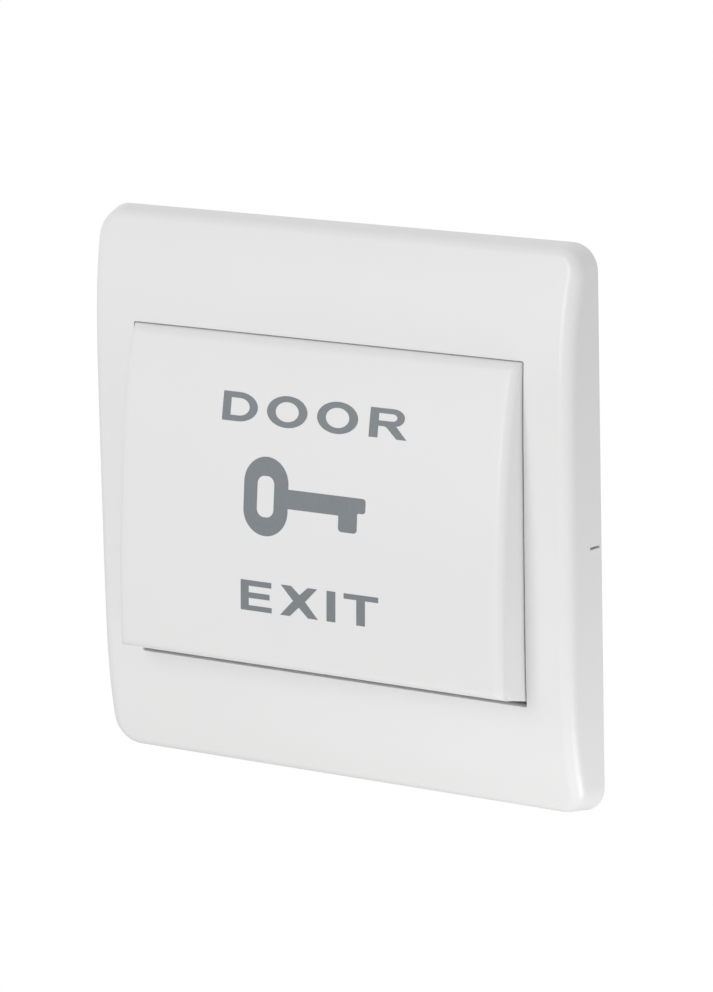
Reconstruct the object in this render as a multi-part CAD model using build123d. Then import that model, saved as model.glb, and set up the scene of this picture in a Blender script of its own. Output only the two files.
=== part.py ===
from build123d import *
import math
import os

# Door exit button for a square wall box. Millimetres. +X right, +Z up, the front faces -Y.
# Origin: the middle of the two wall screw slots, on the wall plane. "Depth" is the distance in
# front of the wall plane, so a depth is -Y, and a negative depth lies inside the wall box.

# Face frame
FRAME_SIZE = 86.0
FRAME_DEPTH = 7.5
FRAME_LEAN = 0.6
FRAME_FALL = 3.9
FRAME_FALL_POWER = 5
FRAME_BACK_RADIUS = 4.0
FRAME_FRONT_RADIUS = 5.0
FRAME_SIDE_DRAFT = 1.35
FRAME_END_DRAFT = 1.2
FRAME_DRAFT_ROOM = 0.5
FRAME_EDGE_FILLET = 2.1
BOW_STEPS = 12
FRAME_SIDE_WALL = 1.8
FRAME_FRONT_WALL = 1.8
SIDE_RAIL = 8.7
WINDOW_TOP = 26.2
WINDOW_BOTTOM = -25.8
WINDOW_RADIUS = 0.3
COLLAR_WALL = 1.4
COLLAR_LENGTH = 1.6
COLLAR_ROOT = 0.5
PRY_SLIT_HEIGHT = 0.4
PRY_SLIT_LENGTH = 2.2
PRY_SLIT_RIM = 0.4
PRY_SLIT_DROP = 1.9
FRAME_RIB_WALL = 1.0
FRAME_RIB_OFFSET = 15.0

# Mounting plate
PLATE_THICKNESS = 2.0
PLATE_CLEARANCE = 0.4
PLATE_RADIUS = 2.0
PLATE_ROOT = 0.5
RIM_WALL = 1.2
RIM_HEIGHT = 0.9
RIM_INSET = 2.8
SCREW_INSET = 12.85
SLOT_LENGTH = 7.0
SLOT_WIDTH = 4.3
SLOT_BOSS_WALL = 1.6
SLOT_BOSS_HEIGHT = 0.6

# Snap catches between frame and plate
CATCH_INSET = 19.0
CATCH_WIDTH = 7.0
CATCH_LEDGE_PROUD = 0.9
CATCH_LEDGE_HEIGHT = 1.05
CATCH_LEDGE_EXTRA = 1.0
CATCH_GAP = 0.15
TONGUE_WALL = 1.4
TONGUE_BARB_PROUD = 0.9
TONGUE_BARB_HEIGHT = 1.0

# Button cap
CAP_SIDE_GAP = 0.2
CAP_TOP_GAP = 0.15
CAP_BOTTOM_GAP = 0.5
CAP_TOP_PROUD = 1.0
CAP_BOTTOM_PROUD = 5.66
CAP_BOTTOM_RISE = 2.0
CAP_FRONT_WALL = 1.7
CAP_SIDE_WALL = 1.6
CAP_EDGE_FILLET = 1.5
SKIRT_TOP_DEPTH = 5.3
SKIRT_SLOPE = 0.0506
TAB_LENGTH = 8.0
TAB_DEPTH = 5.9
CAP_RIB_WALL = 1.0
CAP_ROOT = 0.6
CAP_RIB_HEIGHT = 1.6
CAP_RIB_END_HEIGHT = 0.8
CAP_RIB_OFFSET = 8.5

# Hinge of the cap
HINGE_DEPTH = 3.3
HINGE_DROP = 3.7
PIN_RADIUS = 1.25
HINGE_CLEARANCE = 0.05
EAR_INSET = 6.0
EAR_WIDTH = 2.4
EAR_RADIUS = 2.4
LUG_WIDTH = 1.6
LUG_RADIUS = 2.0
LUG_SIDE_GAP = 0.3
PRESS_ANGLE = 4.0

# Hooks that hold the cap against its springs
HOOK_OFFSET = 12.0
HOOK_WIDTH = 3.8
HOOK_WALL = 1.6
HOOK_RISE = 6.3
HOOK_BARB_PROUD = 1.0
HOOK_BARB_LENGTH = 1.2
HOOK_BARB_FLAT = 0.4
HOOK_GAP = 0.1
HOOK_WINDOW_MARGIN = 0.4
HOOK_WINDOW_RELIEF = 1.2

# Springs under the cap
BUTTON_SPRING_OFFSET = 22.0
BUTTON_SPRING_RISE = 8.3
BUTTON_SPRING_WIRE = 0.5
BUTTON_SPRING_INSIDE = 4.0
BUTTON_SPRING_TURNS = 6
PEG_DIAMETER = 3.4
PEG_HEIGHT = 2.0
CAP_PEG_HEIGHT = 1.6

# Plunger, its guide and its spring
PLUNGER_RISE = 22.3
STEM_WIDTH = 4.4
STEM_HEIGHT = 5.6
STEM_CLEARANCE = 0.15
HEAD_DIAMETER = 11.0
HEAD_THICKNESS = 1.6
HEAD_FILLET = 0.4
GUIDE_DIAMETER = 9.0
GUIDE_HEIGHT = 0.8
PLUNGER_SPRING_WIRE = 0.45
PLUNGER_SPRING_INSIDE = 9.5
PLUNGER_SPRING_TURNS = 3.5
BOSS_DIAMETER = 6.0
BOSS_TIP_ROUND = 2.0
BOSS_LENGTH = 1.7
BOSS_GAP = 0.1

# Switch housing and lid behind the plate
LID_THICKNESS = 1.2
LID_LIP = 0.8
LID_LIP_WALL = 1.0
LID_LIP_GAP = 0.15
HOUSING_WIDTH = 46.0
HOUSING_HEIGHT = 22.0
HOUSING_DEPTH = 9.6
HOUSING_RADIUS = 1.5
HOUSING_WALL = 1.3
PARTITION_WALL = 1.4
CHAMBER_DEPTH = 7.2
REAR_RECESS = 0.8
REAR_RECESS_MARGIN = 1.0
EAR_REACH = 14.0
SCREW_EAR_RADIUS = 3.6
SCREW_EAR_DEPTH = 5.6

# Contacts
BRIDGE_END_ROOM = 2.0
BRIDGE_WIDTH = 3.0
BRIDGE_THICKNESS = 0.6
BRIDGE_RADIUS = 1.0
STEM_WINDOW_HEIGHT = 3.2
CONTACT_SPRING_LENGTH = 2.0
CONTACT_SPRING_WIRE = 0.3
CONTACT_SPRING_INSIDE = 2.0
CONTACT_SPRING_TURNS = 4
STEM_END_BAR = 1.1
TIP_INSET = 2.0
TIP_RADIUS = 1.3
BRIDGE_TIP_THICKNESS = 0.5
FIXED_TIP_THICKNESS = 0.75
CONTACT_END_GAP = 0.07
TIP_DOME = 0.2
STRIP_THICKNESS = 0.8
STRIP_WIDTH = 5.0
STRIP_RADIUS = 0.8
STRIP_LEAD = 2.0
STRIP_SLOT_GAP = 0.1

# Terminals
TERMINAL_INSET = 5.5
POCKET_WIDTH = 8.2
POCKET_TOP = 4.6
WIRE_TROUGH_WIDTH = 7.0
WIRE_TROUGH_HEIGHT = 5.4
WIRE_TROUGH_DEPTH = 5.0
CLAMP_SIZE = 6.6
CLAMP_THICKNESS = 0.8
CLAMP_RADIUS = 0.8
TERMINAL_SCREW_RADIUS = 1.45
TERMINAL_SCREW_LENGTH = 5.6
TERMINAL_HEAD_RADIUS = 2.7
TERMINAL_HEAD_HEIGHT = 1.4
TERMINAL_HOLE_RADIUS = 1.5
TERMINAL_BOSS_WALL = 1.5
SCREW_TIP_ROOM = 0.5

# Housing screws
HOUSING_SCREW_RADIUS = 1.3
HOUSING_SCREW_LENGTH = 7.8
HOUSING_HEAD_RADIUS = 2.5
HOUSING_HEAD_HEIGHT = 1.4
HOUSING_PILOT_GAP = 0.04
HOUSING_HOLE_GAP = 0.25
SCREW_HEAD_FILLET = 0.7
DRIVE_SLOT_WIDTH = 0.8
DRIVE_SLOT_DEPTH = 0.7
DRIVE_SLOT_SHARE = 0.65

# Worked out from the sizes above
CAVITY_SIZE = FRAME_SIZE - 2 * FRAME_SIDE_WALL
CAVITY_DEPTH = FRAME_DEPTH - FRAME_FRONT_WALL
CAVITY_RADIUS = PLATE_RADIUS + PLATE_CLEARANCE
PLATE_SIZE = CAVITY_SIZE - 2 * PLATE_CLEARANCE
RIM_SIZE = PLATE_SIZE - 2 * RIM_INSET
SCREW_SPACING = FRAME_SIZE - 2 * SCREW_INSET
CATCH_OFFSET = FRAME_SIZE / 2 - CATCH_INSET
WINDOW_WIDTH = FRAME_SIZE - 2 * SIDE_RAIL
WINDOW_HEIGHT = WINDOW_TOP - WINDOW_BOTTOM
WINDOW_MIDDLE = (WINDOW_TOP + WINDOW_BOTTOM) / 2
CAP_HALF = WINDOW_WIDTH / 2 - CAP_SIDE_GAP
CAP_TOP = WINDOW_TOP - CAP_TOP_GAP
CAP_REAR_BOTTOM = WINDOW_BOTTOM + CAP_BOTTOM_GAP
CAP_FRONT_BOTTOM = CAP_REAR_BOTTOM + CAP_BOTTOM_RISE
HINGE_HEIGHT = WINDOW_TOP - HINGE_DROP
HOOK_HEIGHT = CAP_REAR_BOTTOM + HOOK_RISE
BUTTON_SPRING_HEIGHT = CAP_REAR_BOTTOM + BUTTON_SPRING_RISE
PLUNGER_HEIGHT = CAP_REAR_BOTTOM + PLUNGER_RISE
EAR_OFFSET = CAP_HALF - EAR_INSET
LUG_OFFSET = EAR_OFFSET - LUG_SIDE_GAP - LUG_WIDTH
PRESS = math.radians(PRESS_ANGLE)
PLUNGER_TRAVEL = (HINGE_HEIGHT - PLUNGER_HEIGHT) * PRESS
LID_BACK = LID_THICKNESS
CHAMBER_FLOOR = LID_BACK + CHAMBER_DEPTH
HOUSING_BACK = LID_BACK + HOUSING_DEPTH
TERMINAL_OFFSET = HOUSING_WIDTH / 2 - TERMINAL_INSET
CHAMBER_WIDTH = 2 * (TERMINAL_OFFSET - POCKET_WIDTH / 2 - PARTITION_WALL)
BRIDGE_LENGTH = CHAMBER_WIDTH - 2 * BRIDGE_END_ROOM
TIP_OFFSET = BRIDGE_LENGTH / 2 - TIP_INSET
STRIP_START = TIP_OFFSET - STRIP_LEAD
SCREW_EAR_HEIGHTS = (PLUNGER_HEIGHT + EAR_REACH, PLUNGER_HEIGHT - EAR_REACH)
STRIP_FRONT = CHAMBER_FLOOR - STRIP_THICKNESS
FIXED_TIP_FRONT = STRIP_FRONT - FIXED_TIP_THICKNESS
BRIDGE_TIP_BACK = FIXED_TIP_FRONT - CONTACT_END_GAP - PLUNGER_TRAVEL
BRIDGE_BACK = BRIDGE_TIP_BACK - BRIDGE_TIP_THICKNESS
BRIDGE_FRONT = BRIDGE_BACK - BRIDGE_THICKNESS
TROUGH_MIDDLE = PLUNGER_HEIGHT - HOUSING_HEIGHT / 2 + WIRE_TROUGH_HEIGHT / 2


def bow_depth(height):
    """Depth of the frame's front, leaning back a little towards the top and falling away at both ends."""
    share = 2 * height / FRAME_SIZE
    return FRAME_DEPTH - FRAME_LEAN * share - FRAME_FALL * abs(share) ** FRAME_FALL_POWER


CAP_FRONT_TOP_DEPTH = bow_depth(CAP_TOP) + CAP_TOP_PROUD
CAP_FRONT_BOTTOM_DEPTH = bow_depth(CAP_FRONT_BOTTOM) + CAP_BOTTOM_PROUD
CAP_LEAN = (CAP_FRONT_BOTTOM_DEPTH - CAP_FRONT_TOP_DEPTH) / (CAP_TOP - CAP_FRONT_BOTTOM)


def cap_front(height):
    """Depth of the cap's flat front at a height."""
    return CAP_FRONT_TOP_DEPTH + CAP_LEAN * (CAP_TOP - height)


def cap_inside(height):
    """Depth of the inner face of the cap's front wall at a height."""
    return cap_front(height) - CAP_FRONT_WALL * math.hypot(1, CAP_LEAN)


def skirt_rim(height):
    """Depth of the rear rim of the cap's side skirts at a height."""
    return SKIRT_TOP_DEPTH + SKIRT_SLOPE * (CAP_TOP - height)


HEAD_DEPTH = cap_inside(PLUNGER_HEIGHT) - BOSS_LENGTH - BOSS_GAP


def facing(depth, x=0.0, z=0.0):
    """A plane parallel to the wall at a depth, with its normal towards the viewer."""
    return Plane((x, -depth, z), x_dir=(1, 0, 0), z_dir=(0, -1, 0))


def slab(width, height, back, front, x=0.0, z=0.0, radius=0.0):
    """A rectangular block between two depths, with its upright corners rounded."""
    if radius > 0:
        face = facing(back, x, z) * RectangleRounded(width, height, radius)
    else:
        face = facing(back, x, z) * Rectangle(width, height)
    return extrude(face, amount=front - back)


def rod(radius, back, front, x=0.0, z=0.0):
    """A round rod square to the wall, between two depths."""
    return extrude(facing(back, x, z) * Circle(radius), amount=front - back)


def side_profile(points, x_low, x_high):
    """A solid whose section, given as (depth, height) points, runs from x_low to x_high."""
    outline = [(-depth, height) for depth, height in points]
    face = Plane.YZ.offset(x_low) * make_face(Polyline(*outline, close=True))
    return extrude(face, amount=x_high - x_low)


def level_profile(points, z_low, z_high):
    """A solid whose section, given as (depth, across) points, runs from z_low to z_high."""
    outline = [(across, -depth) for depth, across in points]
    face = Plane.XY.offset(z_low) * make_face(Polyline(*outline, close=True))
    return extrude(face, amount=z_high - z_low)


def bowed_block(inset):
    """A block as wide and high as the frame, its front behind the bowed front by an inset."""
    half = FRAME_SIZE / 2
    heights = [half * step / BOW_STEPS for step in range(-BOW_STEPS, BOW_STEPS + 1)]
    bow = Spline(*[(inset - bow_depth(height), height) for height in heights])
    rest = Polyline(bow @ 1, (0, half), (0, -half), bow @ 0)
    section = Plane.YZ.offset(-half) * make_face(Curve() + [bow, rest])
    return extrude(section, amount=FRAME_SIZE)


def coil(inside, wire, length, turns, back, x, z):
    """An open coil spring square to the wall: a round wire swept along a helix between two depths."""
    radius = (inside + wire) / 2
    rise = length - wire
    path = Helix(pitch=rise / turns, height=rise, radius=radius)
    section = Plane(path @ 0, z_dir=path % 0) * Circle(wire / 2)
    body = sweep(section, path=path, is_frenet=True)
    return facing(back + wire / 2, x, z) * body


# Face frame: one moulded cover, drafted from a square back to a narrower, bowed front


def build_face_frame():
    back = facing(0) * RectangleRounded(FRAME_SIZE, FRAME_SIZE, FRAME_BACK_RADIUS)
    front_width = FRAME_SIZE - 2 * FRAME_SIDE_DRAFT
    front_height = FRAME_SIZE - 2 * FRAME_END_DRAFT
    front = RectangleRounded(front_width, front_height, FRAME_FRONT_RADIUS)
    outer = loft([back, facing(FRAME_DEPTH + FRAME_DRAFT_ROOM) * front], ruled=True)
    outer = outer & bowed_block(0)
    outer = fillet(outer.faces().sort_by(Axis.Y)[0].edges(), FRAME_EDGE_FILLET)

    # Hollow behind, following the bow, with a collar round the window
    cavity = slab(CAVITY_SIZE, CAVITY_SIZE, 0, CAVITY_DEPTH, radius=CAVITY_RADIUS)
    body = outer - (cavity & bowed_block(FRAME_FRONT_WALL))
    collar_width = WINDOW_WIDTH + 2 * COLLAR_WALL
    collar_height = WINDOW_HEIGHT + 2 * COLLAR_WALL
    collar_back = CAVITY_DEPTH - COLLAR_LENGTH
    collar_front = CAVITY_DEPTH + COLLAR_ROOT
    body += slab(collar_width, collar_height, collar_back, collar_front, z=WINDOW_MIDDLE)

    # Stiffening ribs from the collar to the walls, trimmed to the bow
    rib_span = (CAVITY_SIZE - collar_width) / 2
    rib_x = (CAVITY_SIZE + collar_width) / 4
    for side in (-1, 1):
        for z in (-FRAME_RIB_OFFSET, FRAME_RIB_OFFSET):
            body += slab(rib_span, FRAME_RIB_WALL, collar_back, collar_front, x=side * rib_x, z=z)
        edge = WINDOW_MIDDLE + side * collar_height / 2
        span = abs(side * CAVITY_SIZE / 2 - edge)
        for x in (-FRAME_RIB_OFFSET, 0, FRAME_RIB_OFFSET):
            rib = slab(FRAME_RIB_WALL, span, collar_back, collar_front, x=x, z=edge + side * span / 2)
            body += rib & outer

    # Catch ledges on the side walls
    ledge_back = PLATE_THICKNESS + CATCH_GAP
    ledge_front = ledge_back + CATCH_LEDGE_HEIGHT
    ledge_width = CATCH_WIDTH + CATCH_LEDGE_EXTRA
    for side in (-1, 1):
        x = side * (CAVITY_SIZE - CATCH_LEDGE_PROUD) / 2
        for z in (-CATCH_OFFSET, CATCH_OFFSET):
            body += slab(CATCH_LEDGE_PROUD, ledge_width, ledge_back, ledge_front, x=x, z=z)

    body -= slab(WINDOW_WIDTH, WINDOW_HEIGHT, 0, 2 * FRAME_DEPTH, z=WINDOW_MIDDLE, radius=WINDOW_RADIUS)

    # A slit through each side wall, where a small screwdriver frees the frame
    slit_front = PRY_SLIT_RIM + PRY_SLIT_LENGTH
    for side in (-1, 1):
        slit_size = (2 * FRAME_SIDE_WALL, PRY_SLIT_HEIGHT)
        slit_x = side * (FRAME_SIZE - FRAME_SIDE_WALL) / 2
        body -= slab(*slit_size, PRY_SLIT_RIM, slit_front, x=slit_x, z=-PRY_SLIT_DROP)
    return body


# Exit button: one moulded cap with skirts, ribs, hinge lugs, spring pegs and hooks


def build_exit_button():
    tab_top = CAP_REAR_BOTTOM + TAB_LENGTH
    outline = [
        (CAP_FRONT_TOP_DEPTH, CAP_TOP),
        (CAP_FRONT_BOTTOM_DEPTH, CAP_FRONT_BOTTOM),
        (TAB_DEPTH, CAP_REAR_BOTTOM),
        (TAB_DEPTH, tab_top),
        (skirt_rim(tab_top), tab_top),
        (SKIRT_TOP_DEPTH, CAP_TOP),
    ]
    body = side_profile(outline, -CAP_HALF, CAP_HALF)
    front = body.faces().sort_by(Axis.Y)[0]
    body = fillet(front.edges(), CAP_EDGE_FILLET)

    # The hollow keeps the front wall, the side skirts and the upper and lower walls
    low = CAP_FRONT_BOTTOM + CAP_SIDE_WALL
    hollow = [
        (cap_inside(CAP_TOP - CAP_SIDE_WALL), CAP_TOP - CAP_SIDE_WALL),
        (cap_inside(low), low),
        (0, CAP_REAR_BOTTOM + CAP_SIDE_WALL),
        (0, CAP_TOP - CAP_SIDE_WALL),
    ]
    inner_half = CAP_HALF - CAP_SIDE_WALL
    body -= side_profile(hollow, -inner_half, inner_half)

    # Ribs along and across the inside of the front wall
    for x in (-2 * CAP_RIB_OFFSET, -CAP_RIB_OFFSET, CAP_RIB_OFFSET, 2 * CAP_RIB_OFFSET):
        rib = [
            (cap_inside(CAP_TOP) + CAP_ROOT, CAP_TOP - CAP_RIB_WALL),
            (cap_inside(low) + CAP_ROOT, low),
            (cap_inside(low) - CAP_RIB_HEIGHT, low),
            (cap_inside(CAP_TOP) - CAP_RIB_END_HEIGHT, CAP_TOP - CAP_RIB_WALL),
        ]
        body += side_profile(rib, x - CAP_RIB_WALL / 2, x + CAP_RIB_WALL / 2)
    for z in (HINGE_HEIGHT - 2 * CAP_RIB_OFFSET, PLUNGER_HEIGHT - CAP_RIB_OFFSET):
        level = cap_inside(z)
        body += slab(2 * inner_half, CAP_RIB_WALL, level - CAP_RIB_HEIGHT, level + CAP_ROOT, z=z)

    # Boss that presses the plunger
    boss_back = HEAD_DEPTH + BOSS_GAP
    boss = rod(BOSS_DIAMETER / 2, boss_back, cap_inside(PLUNGER_HEIGHT) + CAP_ROOT, z=PLUNGER_HEIGHT)
    body += fillet(boss.faces().sort_by(Axis.Y)[-1].edges(), BOSS_TIP_ROUND)

    # Hinge lugs with their outward pins
    for side in (-1, 1):
        x_low, x_high = sorted((side * LUG_OFFSET, side * (LUG_OFFSET + LUG_WIDTH)))
        lug = [
            (HINGE_DEPTH, HINGE_HEIGHT + LUG_RADIUS),
            (cap_inside(HINGE_HEIGHT + LUG_RADIUS) + CAP_ROOT, HINGE_HEIGHT + LUG_RADIUS),
            (cap_inside(HINGE_HEIGHT - LUG_RADIUS) + CAP_ROOT, HINGE_HEIGHT - LUG_RADIUS),
            (HINGE_DEPTH, HINGE_HEIGHT - LUG_RADIUS),
        ]
        centre = Plane((x_low, -HINGE_DEPTH, HINGE_HEIGHT), z_dir=(1, 0, 0))
        body += side_profile(lug, x_low, x_high)
        body += extrude(centre * Circle(LUG_RADIUS), amount=LUG_WIDTH)
        pin_end = EAR_OFFSET + EAR_WIDTH
        pin_low, pin_high = sorted((side * LUG_OFFSET, side * pin_end))
        pin = Plane((pin_low, -HINGE_DEPTH, HINGE_HEIGHT), z_dir=(1, 0, 0)) * Circle(PIN_RADIUS)
        body += extrude(pin, amount=pin_high - pin_low)

    # Spring pegs and hooks
    for side in (-1, 1):
        x = side * BUTTON_SPRING_OFFSET
        seat = cap_inside(BUTTON_SPRING_HEIGHT)
        body += rod(PEG_DIAMETER / 2, seat - CAP_PEG_HEIGHT, seat + CAP_ROOT, x=x, z=BUTTON_SPRING_HEIGHT)
        hook_low = side * HOOK_OFFSET - HOOK_WIDTH / 2
        under = HOOK_HEIGHT - HOOK_WALL / 2
        over = HOOK_HEIGHT + HOOK_WALL / 2
        barb_start = -HOOK_GAP
        barb_end = barb_start - HOOK_BARB_LENGTH
        hook = [
            (cap_inside(over) + CAP_ROOT, over),
            (cap_inside(under) + CAP_ROOT, under),
            (barb_start, under),
            (barb_start, under - HOOK_BARB_PROUD),
            (barb_start - HOOK_BARB_FLAT, under - HOOK_BARB_PROUD),
            (barb_end, under),
            (barb_end, over),
        ]
        body += side_profile(hook, hook_low, hook_low + HOOK_WIDTH)
    return body


# Mounting plate: one moulding with everything that the other pieces seat on


def build_mounting_plate():
    body = slab(PLATE_SIZE, PLATE_SIZE, 0, PLATE_THICKNESS, radius=PLATE_RADIUS)
    rim_top = PLATE_THICKNESS + RIM_HEIGHT
    rim = slab(RIM_SIZE, RIM_SIZE, PLATE_THICKNESS, rim_top, radius=PLATE_RADIUS)
    inner_size = RIM_SIZE - 2 * RIM_WALL
    rim -= slab(inner_size, inner_size, PLATE_THICKNESS, rim_top, radius=PLATE_RADIUS - RIM_WALL)
    body += rim

    # Snap tongues, each with a barb in front of a ledge of the frame
    barb_back = PLATE_THICKNESS + 2 * CATCH_GAP + CATCH_LEDGE_HEIGHT
    barb_front = barb_back + TONGUE_BARB_HEIGHT
    ledge_face = CAVITY_SIZE / 2 - CATCH_LEDGE_PROUD
    tongue_outer = ledge_face - CATCH_GAP
    for side in (-1, 1):
        for z in (-CATCH_OFFSET, CATCH_OFFSET):
            tongue = [
                (PLATE_THICKNESS - PLATE_ROOT, side * (tongue_outer - TONGUE_WALL)),
                (PLATE_THICKNESS - PLATE_ROOT, side * tongue_outer),
                (barb_back, side * tongue_outer),
                (barb_back, side * (tongue_outer + TONGUE_BARB_PROUD)),
                (barb_front, side * tongue_outer),
                (barb_front, side * (tongue_outer - TONGUE_WALL)),
            ]
            body += level_profile(tongue, z - CATCH_WIDTH / 2, z + CATCH_WIDTH / 2)

    # Hinge ears and the windows for the cap's lugs beside them
    for side in (-1, 1):
        x_low, x_high = sorted((side * EAR_OFFSET, side * (EAR_OFFSET + EAR_WIDTH)))
        centre = Plane((x_low, -HINGE_DEPTH, HINGE_HEIGHT), z_dir=(1, 0, 0))
        ear_base = PLATE_THICKNESS - PLATE_ROOT
        ear = [
            (ear_base, HINGE_HEIGHT + EAR_RADIUS),
            (HINGE_DEPTH, HINGE_HEIGHT + EAR_RADIUS),
            (HINGE_DEPTH, HINGE_HEIGHT - EAR_RADIUS),
            (ear_base, HINGE_HEIGHT - EAR_RADIUS),
        ]
        body += side_profile(ear, x_low, x_high)
        body += extrude(centre * Circle(EAR_RADIUS), amount=EAR_WIDTH)
        body -= extrude(centre * Circle(PIN_RADIUS + HINGE_CLEARANCE), amount=EAR_WIDTH)
        window_x = side * (LUG_OFFSET + LUG_WIDTH / 2)
        window_width = LUG_WIDTH + 2 * LUG_SIDE_GAP
        window_height = 2 * (LUG_RADIUS + LUG_SIDE_GAP)
        body -= slab(window_width, window_height, 0, PLATE_THICKNESS, x=window_x, z=HINGE_HEIGHT)

    # Wall screw slots with low bosses round them
    for side in (-1, 1):
        x = side * SCREW_SPACING / 2
        boss_top = PLATE_THICKNESS + SLOT_BOSS_HEIGHT
        boss_length = SLOT_LENGTH + 2 * SLOT_BOSS_WALL
        boss = facing(PLATE_THICKNESS, x) * SlotOverall(boss_length, SLOT_WIDTH + 2 * SLOT_BOSS_WALL)
        body += extrude(boss, amount=SLOT_BOSS_HEIGHT)
        slot = facing(0, x) * SlotOverall(SLOT_LENGTH, SLOT_WIDTH)
        body -= extrude(slot, amount=boss_top)

    # Windows for the cap's hooks, spring pegs and stop pads
    pad_front = TAB_DEPTH - (HINGE_HEIGHT - CAP_REAR_BOTTOM) * math.sin(PRESS) - HOOK_GAP
    for side in (-1, 1):
        under = HOOK_HEIGHT - HOOK_WALL / 2 - HOOK_WINDOW_MARGIN
        over = HOOK_HEIGHT + HOOK_WALL / 2 + HOOK_WINDOW_RELIEF
        width = HOOK_WIDTH + 2 * HOOK_WINDOW_MARGIN
        body -= slab(width, over - under, 0, PLATE_THICKNESS, x=side * HOOK_OFFSET, z=(over + under) / 2)
        peg_x = side * BUTTON_SPRING_OFFSET
        peg_top = PLATE_THICKNESS + PEG_HEIGHT
        body += rod(PEG_DIAMETER / 2, PLATE_THICKNESS, peg_top, x=peg_x, z=BUTTON_SPRING_HEIGHT)
        pad_place = (side * CATCH_OFFSET, CAP_REAR_BOTTOM + CAP_SIDE_WALL / 2)
        body += slab(CATCH_WIDTH, CAP_SIDE_WALL, PLATE_THICKNESS, pad_front, *pad_place)

    # Plunger guide and the holes for the housing screws
    guide_top = PLATE_THICKNESS + GUIDE_HEIGHT
    body += rod(GUIDE_DIAMETER / 2, PLATE_THICKNESS, guide_top, z=PLUNGER_HEIGHT)
    hole_width = STEM_WIDTH + 2 * STEM_CLEARANCE
    hole_height = STEM_HEIGHT + 2 * STEM_CLEARANCE
    body -= slab(hole_width, hole_height, 0, guide_top, z=PLUNGER_HEIGHT)
    for z in SCREW_EAR_HEIGHTS:
        body -= rod(HOUSING_SCREW_RADIUS + HOUSING_HOLE_GAP, 0, PLATE_THICKNESS, z=z)
    return body


# Switch lid: a thin moulded cover with a lip that locates it in the housing


def screw_ears(back, front):
    """The two rounded ears above and below the housing, between two depths."""
    ears = slab(2 * SCREW_EAR_RADIUS, 2 * EAR_REACH, back, front, z=PLUNGER_HEIGHT)
    for z in SCREW_EAR_HEIGHTS:
        ears += rod(SCREW_EAR_RADIUS, back, front, z=z)
    return ears


def build_switch_lid():
    body = slab(HOUSING_WIDTH, HOUSING_HEIGHT, -LID_BACK, 0, z=PLUNGER_HEIGHT, radius=HOUSING_RADIUS)
    body += screw_ears(-LID_BACK, 0)
    lip_width = CHAMBER_WIDTH - 2 * LID_LIP_GAP
    lip_height = HOUSING_HEIGHT - 2 * HOUSING_WALL - 2 * LID_LIP_GAP
    lip = slab(lip_width, lip_height, -LID_BACK - LID_LIP, -LID_BACK, z=PLUNGER_HEIGHT)
    inner_width = lip_width - 2 * LID_LIP_WALL
    inner_height = lip_height - 2 * LID_LIP_WALL
    lip -= slab(inner_width, inner_height, -LID_BACK - LID_LIP, -LID_BACK, z=PLUNGER_HEIGHT)
    body += lip
    hole_width = STEM_WIDTH + 2 * STEM_CLEARANCE
    hole_height = STEM_HEIGHT + 2 * STEM_CLEARANCE
    body -= slab(hole_width, hole_height, -LID_BACK, 0, z=PLUNGER_HEIGHT)
    for z in SCREW_EAR_HEIGHTS:
        body -= rod(HOUSING_SCREW_RADIUS + HOUSING_HOLE_GAP, -LID_BACK, 0, z=z)
    return body


# Switch housing: contact chamber in the middle, a terminal pocket on each side


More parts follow.
